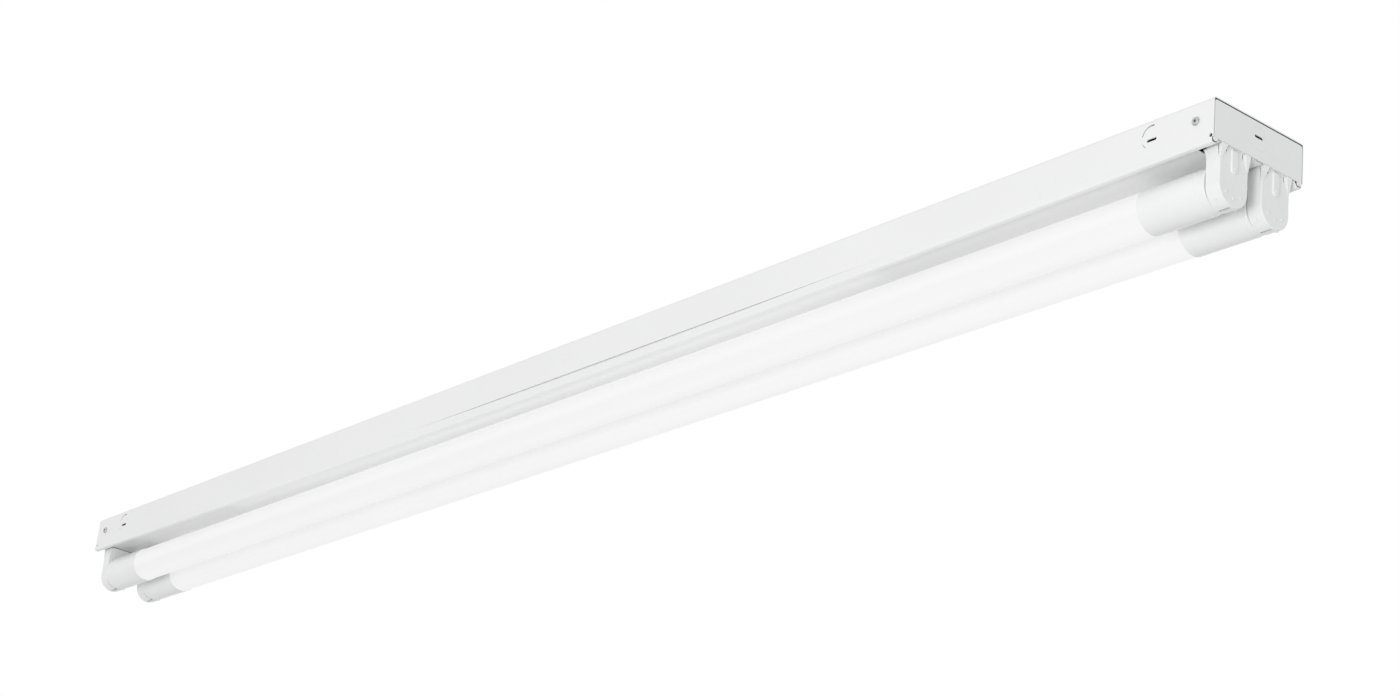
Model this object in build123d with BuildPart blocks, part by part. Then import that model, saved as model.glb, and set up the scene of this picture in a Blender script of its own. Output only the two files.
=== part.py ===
"""Two-lamp strip light for a ceiling: sheet-steel wireway, clip-in cover, four lampholders, two tube lamps.

Millimetres. The origin is the centre of the ceiling face on the back of the channel, +Z is up,
X runs along the fixture and the front lamp is the one on the -Y side.
"""
import math
import os

from build123d import *

# Channel housing
channel_width = 75.0
channel_height = 24.3
sheet = 0.8
bend_radius = 2.2
corner_notch_inset = 1.7
corner_notch_width = 2.0
corner_notch_height = 2.2

# Fixing holes and supply opening in the back
mounting_hole_diameter = 7.0
mounting_hole_spacing = 914.4
supply_opening_diameter = 22.2
supply_opening_offset = -40.0
bushing_bore = 16.0
bushing_rim_width = 2.2
bushing_rim_height = 1.6
bushing_fit = 0.15

# Knockouts
knockout_diameter = 14.0
knockout_groove_width = 0.3
knockout_groove_depth = 0.15
knockout_break_width = 0.8
knockout_break_start = 78.0
knockout_break_sweep = 86.0
knockout_crack_start = 202.0
knockout_crack_sweep = 30.0
pry_slot_length = 7.2
pry_slot_width = 1.7
side_knockout_inset = 44.0
side_knockout_drop = 10.9
side_pry_slot_offset = -1.9
plate_knockout_drop = 11.6
plate_pry_slot_offset = 1.1

# End plates
plate_side_gap = 0.15
plate_top_gap = 0.7
plate_corner_radius = 1.6
plate_flange_length = 22.0
plate_flange_top = 4.0
plate_flange_bottom = 15.2
plate_seam_gap = 0.1
plate_tab_width = 3.3
plate_tab_depth = 2.1
plate_tab_radius = 1.4

# Rivets that hold the end plates
rivet_inset = 12.5
rivet_drop = 11.7
rivet_shank_diameter = 3.2
rivet_hole_clearance = 0.05
rivet_head_diameter = 5.2
rivet_head_height = 1.1
rivet_head_edge = 0.8
rivet_tail_diameter = 4.6
rivet_tail_length = 2.0
rivet_bore = 1.7

# Cover
cover_sheet = 0.5
cover_slide = -1.0
cover_wall_gap = 0.05
cover_seam_gap = 0.1
cover_tongue_height = 8.5
cover_bead_depth = 3.0
cover_bead_floor = 3.4
cover_bead_slope = 2.4
cover_jog_radius = 0.27
cover_corner_radius = 0.8
cover_slope_radius = 1.2
notch_side_gap = 1.4
notch_depth = 16.5
cover_relief_length = 2.2
cover_relief_width = 3.2
cover_relief_drop = 1.4

# Lamps
lamp_pitch = 34.5
lamp_axis_drop = 45.0
lamp_face_length = 1199.4
tube_diameter = 25.7
tube_wall = 0.9
cap_diameter = 26.8
cap_length = 47.5
cap_neck_diameter = 26.2
cap_neck_wall = 1.8
cap_neck_length = 6.0
cap_face_thickness = 4.0
cap_edge_radius = 0.25
cap_nose_radius = 0.8
cap_fit = 0.05
tube_insertion = 36.5
pin_diameter = 2.35
pin_pitch = 12.7
pin_length = 7.2
pin_fit = 0.03

# Inside the lamps
led_board_width = 18.0
led_board_thickness = 1.0
led_board_wall_gap = 0.12
led_board_end_gap = 62.0
led_length = 3.5
led_width = 2.8
led_height = 0.7
led_pitch = 18.0
driver_board_length = 56.0
driver_board_width = 17.0
driver_board_thickness = 1.2
driver_seat_gap = 0.3
capacitor_diameter = 6.3
capacitor_length = 11.0
capacitor_sink = 0.4
inductor_size = 8.0
inductor_height = 5.6
inductor_corner = 1.0

# Lampholders
holder_inset = 2.2
holder_thickness = 9.6
lamp_end_play = 0.5
holder_width = 23.2
holder_round_drop = 2.0
holder_edge_radius = 0.6
holder_neck_rise = 1.0
holder_head_inset = 1.1
holder_head_overhang = 2.0
holder_head_height = 7.2
holder_foot_height = 2.0
holder_foot_gap = 0.2
holder_seat_gap = 0.05
holder_rib_width = 5.6
holder_rib_drop = 14.2
holder_rib_height = 0.9
holder_rib_edge = 0.8
holder_flare = 2.5
holder_flare_drop = 8.0
holder_ear_drop = 9.2
holder_ear_plate_gap = 0.15
holder_ear_width = 4.4
holder_ear_tip = 1.2
holder_ear_lean = 2.0
holder_ear_root = 1.0
holder_ear_thickness = 0.9
holder_ear_edge = 0.75
holder_ear_slit = 1.05
holder_ear_slit_drop = 8.7
holder_ear_slit_depth = 4.4
holder_face_slit_width = 0.9
holder_face_slit_drop = 3.4
holder_face_slit_depth = 2.2
holder_entry_width = 2.8
holder_back_wall = 1.4
holder_dot_diameter = 1.8
holder_dot_height = 0.4
holder_dot_radius = 8.2
holder_stud_diameter = 2.2
holder_stud_height = 0.7
holder_stud_root = 1.0
holder_stud_angle = 222.0
holder_stud_depth = 5.4

# Rotors and contacts in the lampholders
rotor_diameter = 18.0
rotor_fit = 0.05
rotor_inset = 0.3
rotor_thickness = 4.0
rotor_rib_height = 0.35
rotor_rib_width = 1.0
rotor_rib_gap = 0.15
rotor_slot_clearance = 0.15
rotor_slot_end = 1.3
contact_thickness = 0.5
contact_pin_gap = 0.3
contact_depth = 2.6
contact_rotor_gap = 0.4
contact_blade_height = 6.0
contact_slot_gap = 0.2
port_depth = 3.0

# Wiring
lead_diameter = 2.4
lead_fit = 0.2
lead_drop = 5.0
lead_bend_radius = 6.0
jumper_drop = 9.5
jumper_bend_radius = 5.0
clip_positions = (-500.0, -350.0, -200.0, 230.0, 370.0, 510.0)
clip_length = 8.0
clip_wall = 1.3

# Terminal block and earth screw
block_offset = 62.0
block_length = 28.0
block_width = 30.0
block_height = 13.0
block_edge_radius = 1.0
pole_pitch = 8.0
pole_well_diameter = 5.2
pole_screw_diameter = 4.6
pole_screw_length = 4.0
pole_screw_fit = 0.1
wire_entry_depth = 8.0
clamp_length = 14.0
clamp_width = 4.4
clamp_height = 4.4
clamp_fit = 0.1
screw_slot_width = 0.8
screw_slot_depth = 0.9
lead_spread_start = 24.0
lead_spread_length = 46.0
lead_spread_radius = 19.0
earth_lead_straight = 4.0
earth_lead_bend_radius = 8.0
earth_screw_offset = 118.0
earth_screw_diameter = 4.0
earth_head_diameter = 8.0
earth_head_height = 2.4
earth_head_edge = 0.9
earth_hole_clearance = 0.1
lug_diameter = 9.0
lug_thickness = 0.8
lug_barrel_diameter = 4.0
lug_barrel_length = 7.0
lug_neck = 1.0
lug_lead_stop = 0.5
lug_tongue_width = 4.0

# Places that follow from the sizes above
fixture_length = lamp_face_length + 2 * (lamp_end_play + holder_thickness + holder_inset)
end_x = fixture_length / 2
wall_inside = channel_width / 2 - sheet
cover_top = -channel_height
cover_underside = cover_top - cover_sheet
lamp_axis_z = -lamp_axis_drop
lamp_rows = {"front": -lamp_pitch / 2, "rear": lamp_pitch / 2}
ends = {"left": -1, "right": 1}
notch_width = holder_width + 2 * notch_side_gap
holder_inner_inset = holder_inset + holder_thickness
holder_round_z = lamp_axis_z - holder_round_drop
holder_head_width = notch_width + 2 * holder_head_overhang
holder_head_top = cover_top + holder_seat_gap + holder_head_height
rotor_bore = rotor_diameter + 2 * rotor_fit
contact_offset = pin_pitch / 2 + pin_diameter / 2 + contact_pin_gap
contact_inset = holder_inner_inset - rotor_inset - rotor_thickness - contact_rotor_gap
contact_middle = contact_offset + contact_thickness / 2
contact_top = holder_head_top - port_depth
port_inset = contact_inset - contact_depth / 2
cap_face_x = lamp_face_length / 2
block_x = block_offset
lead_z = -lead_drop


def end_plane(side: int, inset: float, y: float = 0.0, z: float = 0.0) -> Plane:
    """Plane square to the length, facing out of one end, at a distance in from that end."""
    return Plane(origin=(side * (end_x - inset), y, z), x_dir=(0, side, 0), z_dir=(side, 0, 0))


def side_plane(side: int, x: float, z: float) -> Plane:
    """Plane on the outer face of one side wall, facing away from the fixture."""
    return Plane(origin=(x, side * channel_width / 2, z), x_dir=(-side, 0, 0), z_dir=(0, side, 0))


def knockout_ring() -> None:
    """Draws the sheared ring of a knockout in the sketch that is open."""
    Circle(knockout_diameter / 2 + knockout_groove_width / 2)
    Circle(knockout_diameter / 2 - knockout_groove_width / 2, mode=Mode.SUBTRACT)


# The stretches of a side knockout's ring that are sheared right through the sheet
knockout_break = CenterArc((0, 0), knockout_diameter / 2, knockout_break_start, knockout_break_sweep)
knockout_crack = CenterArc((0, 0), knockout_diameter / 2, knockout_crack_start, knockout_crack_sweep)


# Channel: an inverted U of sheet steel, open at both ends
with BuildPart() as channel:
    with BuildSketch(Plane.YZ.offset(-end_x)) as channel_section:
        Rectangle(channel_width, channel_height, align=(Align.CENTER, Align.MAX))
        fillet(channel_section.vertices().group_by(Axis.Y)[-1], bend_radius)
        with BuildSketch(Plane.YZ.offset(-end_x), mode=Mode.SUBTRACT) as channel_hollow:
            with Locations((0, -sheet)):
                Rectangle(2 * wall_inside, channel_height, align=(Align.CENTER, Align.MAX))
            fillet(channel_hollow.vertices().group_by(Axis.Y)[-1], bend_radius - sheet)
    extrude(amount=fixture_length)
    with GridLocations(mounting_hole_spacing, 0, 2, 1):
        Hole(mounting_hole_diameter / 2)
    with Locations((earth_screw_offset, 0)):
        Hole(earth_screw_diameter / 2 + earth_hole_clearance)
    with Locations((supply_opening_offset, 0)):
        Hole(supply_opening_diameter / 2)
    for wall in (-1, 1):
        for side in ends.values():
            knockout_x = side * (end_x - side_knockout_inset)
            with BuildSketch(side_plane(wall, knockout_x, -side_knockout_drop)):
                SlotArc(knockout_break, knockout_break_width)
                SlotArc(knockout_crack, knockout_groove_width)
                with Locations((0, side_pry_slot_offset)):
                    SlotOverall(pry_slot_length, pry_slot_width)
            extrude(amount=-sheet, mode=Mode.SUBTRACT)
            with BuildSketch(side_plane(wall, side * (end_x - rivet_inset), -rivet_drop)):
                Circle(rivet_shank_diameter / 2 + rivet_hole_clearance)
            extrude(amount=-sheet, mode=Mode.SUBTRACT)
            with BuildSketch(side_plane(wall, side * (end_x - corner_notch_inset), -channel_height)):
                SlotOverall(2 * corner_notch_height, corner_notch_width, rotation=90)
            extrude(amount=-sheet, mode=Mode.SUBTRACT)


def end_plate(side: int) -> Part:
    """One end plate: a flat face inside the channel's end, with a flange along each side wall."""
    half_width = wall_inside - plate_side_gap
    top = -sheet - plate_top_gap
    flange_height = plate_flange_bottom - plate_flange_top
    flange_z = -(plate_flange_top + plate_flange_bottom) / 2
    bottom = cover_top + plate_seam_gap
    tab_y = half_width - plate_tab_width / 2
    with BuildPart() as plate:
        with BuildSketch(end_plane(side, sheet)) as outline:
            with Locations((0, top)):
                Rectangle(2 * half_width, top - bottom, align=(Align.CENTER, Align.MAX))
            with Locations((tab_y, bottom), (-tab_y, bottom)):
                Rectangle(plate_tab_width, 2 * plate_tab_depth)
            fillet(outline.vertices().group_by(Axis.Y)[-1], plate_corner_radius)
            fillet(outline.vertices().group_by(Axis.Y)[0], plate_tab_radius)
        extrude(amount=sheet)
        with BuildSketch(end_plane(side, sheet)):
            with Locations((half_width - sheet / 2, flange_z), (sheet / 2 - half_width, flange_z)):
                Rectangle(sheet, flange_height)
        extrude(amount=-plate_flange_length)
        with BuildSketch(end_plane(side, 0, z=-plate_knockout_drop)):
            knockout_ring()
        extrude(amount=-knockout_groove_depth, mode=Mode.SUBTRACT)
        with BuildSketch(end_plane(side, 0, z=-plate_knockout_drop)):
            with Locations((0, plate_pry_slot_offset)):
                SlotOverall(pry_slot_length, pry_slot_width)
        extrude(amount=-sheet, mode=Mode.SUBTRACT)
        with BuildSketch(side_plane(1, side * (end_x - rivet_inset), -rivet_drop)):
            Circle(rivet_shank_diameter / 2 + rivet_hole_clearance)
        extrude(amount=-channel_width, mode=Mode.SUBTRACT)
    return plate.part


# Blind rivets: domed head outside, rolled tail inside the plate's flange
with BuildPart() as rivets:
    grip = 2 * sheet + plate_side_gap
    for wall in (-1, 1):
        for side in ends.values():
            head_plane = side_plane(wall, side * (end_x - rivet_inset), -rivet_drop)
            with BuildSketch(head_plane):
                Circle(rivet_head_diameter / 2)
            head = extrude(amount=rivet_head_height)
            fillet(head.edges().filter_by(GeomType.CIRCLE).sort_by(Axis.Y)[-1 if wall > 0 else 0], rivet_head_edge)
            with BuildSketch(head_plane):
                Circle(rivet_shank_diameter / 2)
            extrude(amount=-grip)
            with BuildSketch(head_plane.offset(-grip)):
                Circle(rivet_tail_diameter / 2)
            extrude(amount=-rivet_tail_length)
            with BuildSketch(head_plane.offset(rivet_head_height)):
                Circle(rivet_bore / 2)
            extrude(amount=-rivet_head_height - grip, mode=Mode.SUBTRACT)

def parallel_path(points: list[tuple[float, float]], distance: float) -> list[tuple[float, float]]:
    """Corner points of a path that runs alongside another one, on its left when the distance is positive."""
    runs = [(Vector(*b) - Vector(*a)).normalized() for a, b in zip(points, points[1:])]
    lefts = [Vector(-run.Y, run.X) for run in runs]
    corners = [Vector(*points[0]) + lefts[0] * distance]
    for point, before, after in zip(points[1:-1], lefts, lefts[1:]):
        corners.append(Vector(*point) + (before + after) * (distance / (1 + before.dot(after))))
    corners.append(Vector(*points[-1]) + lefts[-1] * distance)
    return [(corner.X, corner.Y) for corner in corners]


# Cover: a flat pan between two rolled beads, with tongues that spring inside the channel's walls
with BuildPart() as cover:
    half_sheet = cover_sheet / 2
    tongue_y = wall_inside - cover_wall_gap - half_sheet
    jog_z = cover_top - cover_seam_gap - half_sheet
    bead_y = channel_width / 2 - half_sheet
    bead_z = cover_top - cover_bead_depth + half_sheet
    floor_y = bead_y - cover_bead_floor
    flat_y = floor_y - cover_bead_slope
    flat_z = cover_top - half_sheet
    half_path = [
        (tongue_y, cover_top + cover_tongue_height),
        (tongue_y, jog_z),
        (bead_y, jog_z),
        (bead_y, bead_z),
        (floor_y, bead_z),
        (flat_y, flat_z),
    ]
    corner_radii = [
        cover_jog_radius,
        cover_jog_radius,
        cover_corner_radius,
        cover_slope_radius,
        cover_slope_radius,
    ]
    corner_turns = [1, -1, -1, -1, 1]
    path = half_path + [(-y, z) for y, z in reversed(half_path)]
    radii = corner_radii + corner_radii[::-1]
    turns = corner_turns + corner_turns[::-1]
    with BuildSketch(Plane.YZ.offset(cover_slide - end_x)):
        with BuildLine():
            left_side = FilletPolyline(
                *parallel_path(path, half_sheet),
                radius=[r - turn * half_sheet for r, turn in zip(radii, turns)],
            )
            right_side = FilletPolyline(
                *parallel_path(path, -half_sheet),
                radius=[r + turn * half_sheet for r, turn in zip(radii, turns)],
            )
            Line(left_side @ 0, right_side @ 0)
            Line(left_side @ 1, right_side @ 1)
        make_face()
    extrude(amount=fixture_length)
    notch_run = 2 * notch_depth
    with Locations(*[(side * end_x, y, flat_z) for side in ends.values() for y in lamp_rows.values()]):
        Box(notch_run, notch_width, 2 * cover_sheet, mode=Mode.SUBTRACT)
    relief_z = cover_top - cover_relief_drop
    relief_y = wall_inside + cover_wall_gap - cover_relief_width / 2
    with Locations(*[(side * end_x + cover_slide, wall * relief_y, relief_z) for side in (-1, 1) for wall in (-1, 1)]):
        Box(
            2 * cover_relief_length,
            cover_relief_width,
            2 * cover_tongue_height,
            align=(Align.CENTER, Align.CENTER, Align.MIN),
            mode=Mode.SUBTRACT,
        )


def lampholder(side: int, y: float) -> Part:
    """One lampholder: round-bottomed body, head above the cover, spring ears and a rotor bore."""
    half_width = holder_width / 2
    outer = end_plane(side, holder_inset, y)
    inner = end_plane(side, holder_inner_inset, y)
    outermost = -1 if side > 0 else 0
    ear_top = cover_top + plate_seam_gap - holder_ear_plate_gap
    ear_root = ear_top - holder_ear_drop
    flare_top = cover_underside - holder_seat_gap
    flare_root = flare_top - holder_flare_drop
    rib_centre = cover_underside - holder_rib_drop / 2
    across = Plane(origin=(side * (end_x - holder_inset), y, 0), x_dir=(-side, 0, 0), z_dir=(0, side, 0))
    with BuildPart() as holder:
        with BuildSketch(outer):
            with Locations((0, holder_round_z)):
                Circle(half_width)
                neck_height = cover_top + holder_neck_rise - holder_round_z
                Rectangle(holder_width, neck_height, align=(Align.CENTER, Align.MIN))
        extrude(amount=-holder_thickness)
        fillet(holder.edges().filter_by(GeomType.CIRCLE).sort_by(Axis.X)[outermost], holder_edge_radius)
        for hand in (-1, 1):
            with BuildSketch(across.offset(hand * half_width)):
                with BuildLine():
                    Polyline(
                        (0, ear_root),
                        (-holder_ear_lean, ear_top),
                        (holder_ear_root, ear_top),
                        (holder_ear_root, ear_root),
                        close=True,
                    )
                make_face()
            extrude(amount=-hand * holder_ear_width)
            with BuildSketch(outer):
                with BuildLine():
                    Polyline(
                        (hand * (half_width - holder_ear_width), ear_top),
                        (hand * (half_width - holder_ear_width), ear_root),
                        (hand * (half_width - holder_ear_tip), ear_root),
                        close=True,
                    )
                make_face()
            extrude(amount=holder_ear_lean, mode=Mode.SUBTRACT)
        with BuildSketch(across):
            with BuildLine():
                flare_foot = (holder_thickness, flare_root)
                flare_lip = (holder_thickness + holder_flare, flare_top)
                TangentArc(flare_foot, flare_lip, tangent=(0, 1))
                Polyline(flare_lip, (holder_inset, flare_top), (holder_inset, flare_root), flare_foot)
            make_face()
        extrude(amount=half_width, both=True)
        with BuildSketch(end_plane(side, holder_head_inset, y)):
            with Locations((0, cover_top + holder_seat_gap)):
                Rectangle(holder_head_width, holder_head_height, align=(Align.CENTER, Align.MIN))
                gap_width = notch_side_gap + holder_foot_gap
                with GridLocations(holder_width + gap_width, 0, 2, 1):
                    Rectangle(gap_width, holder_foot_height, align=(Align.CENTER, Align.MIN), mode=Mode.SUBTRACT)
        extrude(amount=holder_head_inset - holder_inner_inset)
        for hand in (-1, 1):
            with BuildSketch(across.offset(hand * (half_width - holder_ear_slit_depth))):
                with BuildLine():
                    Polyline(
                        (holder_ear_thickness, ear_top),
                        (holder_ear_thickness + holder_ear_slit, ear_top),
                        (holder_ear_edge, ear_top - holder_ear_slit_drop),
                        close=True,
                    )
                make_face()
            extrude(amount=hand * 2 * holder_ear_slit_depth, mode=Mode.SUBTRACT)
        with BuildSketch(outer):
            with Locations((0, ear_top)):
                with GridLocations(holder_width - 2 * holder_ear_width - holder_face_slit_width, 0, 2, 1):
                    Rectangle(holder_face_slit_width, holder_face_slit_drop, align=(Align.CENTER, Align.MAX))
        extrude(amount=-holder_face_slit_depth, mode=Mode.SUBTRACT)
        with BuildSketch(outer):
            with Locations((0, rib_centre)):
                SlotOverall(holder_rib_drop, holder_rib_width, rotation=90)
            with Locations((0, cover_underside)):
                Rectangle(holder_rib_width, holder_rib_drop / 2, align=(Align.CENTER, Align.MAX))
        rib = extrude(amount=holder_rib_height)
        fillet(rib.faces().sort_by(Axis.X)[outermost].edges(), holder_rib_edge)
        with BuildSketch(outer.offset(holder_rib_height)):
            with Locations((0, cover_underside - holder_rib_drop + holder_rib_width / 2)):
                Circle(holder_dot_diameter / 2)
        extrude(amount=holder_dot_height)
        with BuildSketch(outer):
            with Locations((0, lamp_axis_z)):
                with PolarLocations(holder_dot_radius, 3, start_angle=-135, angular_range=90, endpoint=True):
                    Circle(holder_dot_diameter / 2)
        extrude(amount=holder_dot_height)
        for angle in (holder_stud_angle, 540 - holder_stud_angle):
            out = Vector(0, side * math.cos(math.radians(angle)), math.sin(math.radians(angle)))
            root = outer.offset(-holder_stud_depth).from_local_coords(Vector(0, holder_round_z))
            with BuildSketch(Plane(origin=root + out * (half_width - holder_stud_root), z_dir=out)):
                Circle(holder_stud_diameter / 2)
            extrude(amount=holder_stud_root + holder_stud_height)
        with BuildSketch(inner):
            with Locations((0, lamp_axis_z)):
                Circle(rotor_bore / 2)
                Rectangle(holder_entry_width, holder_width, align=(Align.CENTER, Align.MAX))
        extrude(amount=holder_thickness - holder_back_wall, mode=Mode.SUBTRACT)
        groove_start = rotor_inset + rotor_thickness / 2 - rotor_rib_width / 2 - rotor_rib_gap
        with BuildSketch(inner.offset(groove_start)):
            with Locations((0, lamp_axis_z)):
                Circle(rotor_bore / 2 + rotor_rib_height)
        extrude(amount=rotor_rib_width + 2 * rotor_rib_gap, mode=Mode.SUBTRACT)
        slot_height = contact_top - lamp_axis_z + contact_slot_gap
        with BuildSketch(end_plane(side, contact_inset + contact_slot_gap, y)):
            for hand in (-1, 1):
                with Locations((hand * contact_middle, lamp_axis_z)):
                    Rectangle(
                        contact_thickness + 2 * contact_slot_gap,
                        slot_height,
                        align=(Align.CENTER, Align.MIN),
                    )
        extrude(amount=contact_depth + 2 * contact_slot_gap, mode=Mode.SUBTRACT)
        with BuildSketch(Plane.XY.offset(holder_head_top)):
            for hand in (-1, 1):
                with Locations((side * (end_x - port_inset), y + hand * contact_middle)):
                    Circle(lead_diameter / 2 + lead_fit)
        extrude(amount=-port_depth, mode=Mode.SUBTRACT)
    return holder.part


def rotor(side: int, y: float) -> Part:
    """Rotor of one lampholder, turned a quarter from the entry slot so that the lamp is locked.

    The slot's open end faces +Y at both ends of the fixture, so one turn frees both ends of a lamp.
    """
    face = end_plane(side, holder_inner_inset - rotor_inset, y)
    slot_width = pin_diameter + 2 * rotor_slot_clearance
    slot_reach = pin_pitch / 2 + rotor_slot_end
    with BuildPart() as disc:
        with BuildSketch(face):
            with Locations((0, lamp_axis_z)):
                Circle(rotor_diameter / 2)
        extrude(amount=rotor_thickness)
        with BuildSketch(face.offset(rotor_thickness / 2 - rotor_rib_width / 2)):
            with Locations((0, lamp_axis_z)):
                Circle(rotor_diameter / 2 + rotor_rib_height)
        extrude(amount=rotor_rib_width)
        with BuildSketch(face):
            with Locations((-side * slot_reach, lamp_axis_z)):
                open_end = Align.MIN if side > 0 else Align.MAX
                Rectangle(slot_reach + rotor_bore, slot_width, align=(open_end, Align.CENTER))
        extrude(amount=rotor_thickness, mode=Mode.SUBTRACT)
    return disc.part


def contacts(side: int, y: float) -> Part:
    """The two spring contacts of one lampholder, from the pins up to the wire ports."""
    with BuildPart() as blades:
        with BuildSketch(end_plane(side, contact_inset, y)):
            for hand in (-1, 1):
                with Locations((hand * contact_middle, lamp_axis_z - contact_blade_height / 2)):
                    Rectangle(
                        contact_thickness,
                        contact_top - lamp_axis_z + contact_blade_height / 2,
                        align=(Align.CENTER, Align.MIN),
                    )
        extrude(amount=contact_depth)
    return blades.part


def lamp_tube(y: float) -> Part:
    """Frosted tube of one lamp, open at both ends inside the caps."""
    tube_length = lamp_face_length - 2 * (cap_length - tube_insertion)
    with BuildPart() as tube:
        with BuildSketch(Plane(origin=(-tube_length / 2, y, lamp_axis_z), z_dir=(1, 0, 0))):
            Circle(tube_diameter / 2)
            Circle(tube_diameter / 2 - tube_wall, mode=Mode.SUBTRACT)
        extrude(amount=tube_length)
    return tube.part


def lamp_cap(side: int, y: float) -> Part:
    """End cap of one lamp: a cup over the tube with a stepped neck and two pin holes."""
    bore_radius = tube_diameter / 2 + cap_fit
    cup_depth = cap_length - tube_insertion
    neck_bore = cap_neck_diameter / 2 - cap_neck_wall
    with BuildPart() as cap:
        with BuildSketch(Plane(origin=(side * cap_face_x, y, lamp_axis_z), x_dir=(-side, 0, 0), z_dir=(0, -side, 0))):
            with BuildLine():
                Polyline(
                    (0, 0),
                    (0, cap_neck_diameter / 2),
                    (cap_neck_length, cap_neck_diameter / 2),
                    (cap_neck_length, cap_diameter / 2),
                    (cap_length, cap_diameter / 2),
                    (cap_length, bore_radius),
                    (cup_depth, bore_radius),
                    (cup_depth, neck_bore),
                    (cap_face_thickness, neck_bore),
                    (cap_face_thickness, 0),
                    close=True,
                )
            make_face()
        axis_origin = (side * cap_face_x, y, lamp_axis_z)
        revolve(axis=Axis(axis_origin, (1, 0, 0)), revolution_arc=360)
        outermost = -1 if side > 0 else 0
        nose = cap.edges().filter_by(GeomType.CIRCLE).group_by(Axis.X)[outermost]
        fillet(nose, cap_nose_radius)
        rims = cap.edges().filter_by(GeomType.CIRCLE).group_by(SortBy.RADIUS)[-1]
        fillet(rims.sort_by(Axis.X)[outermost], cap_edge_radius)
        with BuildSketch(Plane(origin=axis_origin, x_dir=(0, 1, 0), z_dir=(side, 0, 0))):
            with GridLocations(pin_pitch, 0, 2, 1):
                Circle(pin_diameter / 2 + pin_fit)
        extrude(amount=-cap_face_thickness, mode=Mode.SUBTRACT)
    return cap.part


def lamp_pins(y: float) -> Part:
    """The four contact pins of one lamp, two in each cap."""
    with BuildPart() as pins:
        for side in ends.values():
            face = Plane(origin=(side * cap_face_x, y, lamp_axis_z), x_dir=(0, 1, 0), z_dir=(side, 0, 0))
            with BuildSketch(face.offset(-cap_face_thickness)):
                with GridLocations(pin_pitch, 0, 2, 1):
                    Circle(pin_diameter / 2)
            extrude(amount=cap_face_thickness + pin_length)
        tips = pins.edges().filter_by(GeomType.CIRCLE).group_by(Axis.X)
        chamfer(tips[0] + tips[-1], pin_diameter / 5)
    return pins.part


def led_board(y: float) -> Part:
    """Strip board of one lamp, with its row of light-emitting chips facing down."""
    inner_radius = tube_diameter / 2 - tube_wall
    board_top = math.sqrt((inner_radius - led_board_wall_gap) ** 2 - (led_board_width / 2) ** 2)
    board_length = lamp_face_length - 2 * led_board_end_gap
    underside = lamp_axis_z + board_top - led_board_thickness
    led_count = int(board_length // led_pitch)
    with BuildPart() as board:
        with BuildSketch(Plane.XY.offset(underside)):
            with Locations((0, y)):
                Rectangle(board_length, led_board_width)
        extrude(amount=led_board_thickness)
        with BuildSketch(Plane.XY.offset(underside)):
            with Locations((0, y)):
                with GridLocations(led_pitch, 0, led_count, 1):
                    Rectangle(led_length, led_width)
        extrude(amount=-led_height)
    return board.part


def driver_board(y: float) -> Part:
    """Driver board in the right-hand cap of one lamp, with its capacitor and inductor."""
    start_x = cap_face_x - cap_face_thickness - driver_seat_gap
    middle_x = start_x - driver_board_length / 2
    top = lamp_axis_z + driver_board_thickness / 2
    with BuildPart() as board:
        with BuildSketch(Plane.XY.offset(top)):
            with Locations((middle_x, y)):
                Rectangle(driver_board_length, driver_board_width)
        extrude(amount=-driver_board_thickness)
        with BuildSketch(Plane.XY.offset(top)):
            with Locations((middle_x + driver_board_length / 4, y)):
                RectangleRounded(inductor_size, inductor_size, inductor_corner)
        extrude(amount=inductor_height)
        lift = top + capacitor_diameter / 2 - capacitor_sink
        with BuildSketch(Plane(origin=(middle_x - capacitor_length, y, lift), z_dir=(1, 0, 0))):
            Circle(capacitor_diameter / 2)
        extrude(amount=capacitor_length)
    return board.part


# Terminal block on the back of the channel, with wire entries along the fixture
pole_rows = [-pole_pitch, 0.0, pole_pitch]
block_top = -sheet
block_underside = block_top - block_height
with BuildPart() as terminal_block:
    with BuildSketch(Plane.XY.offset(block_top)):
        with Locations((block_x, 0)):
            RectangleRounded(block_length, block_width, block_edge_radius)
    extrude(amount=-block_height)
    with BuildSketch(Plane.XY.offset(block_underside)):
        with Locations((block_x, 0)):
            with GridLocations(0, pole_pitch, 1, len(pole_rows)):
                Circle(pole_well_diameter / 2)
    extrude(amount=block_underside * -1 - lead_drop - clamp_height / 2, mode=Mode.SUBTRACT)
    with BuildSketch(Plane(origin=(block_x - block_length / 2, 0, lead_z), x_dir=(0, 1, 0), z_dir=(1, 0, 0))):
        with GridLocations(pole_pitch, 0, len(pole_rows), 1):
            Circle(lead_diameter / 2 + lead_fit)
    extrude(amount=block_length, mode=Mode.SUBTRACT)
    with BuildSketch(Plane.XY.offset(lead_z + clamp_height / 2 + clamp_fit)):
        with Locations((block_x, 0)):
            with GridLocations(0, pole_pitch, 1, len(pole_rows)):
                Rectangle(clamp_length + 2 * clamp_fit, clamp_width + 2 * clamp_fit)
    extrude(amount=-clamp_height - 2 * clamp_fit, mode=Mode.SUBTRACT)

with BuildPart() as terminal_clamps:
    with BuildSketch(Plane.XY.offset(lead_z + clamp_height / 2)):
        with Locations((block_x, 0)):
            with GridLocations(0, pole_pitch, 1, len(pole_rows)):
                Rectangle(clamp_length, clamp_width)
    extrude(amount=-clamp_height)
    with BuildSketch(Plane(origin=(block_x - clamp_length / 2, 0, lead_z), x_dir=(0, 1, 0), z_dir=(1, 0, 0))):
        with GridLocations(pole_pitch, 0, len(pole_rows), 1):
            Circle(lead_diameter / 2 + lead_fit)
    extrude(amount=clamp_length, mode=Mode.SUBTRACT)

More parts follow.
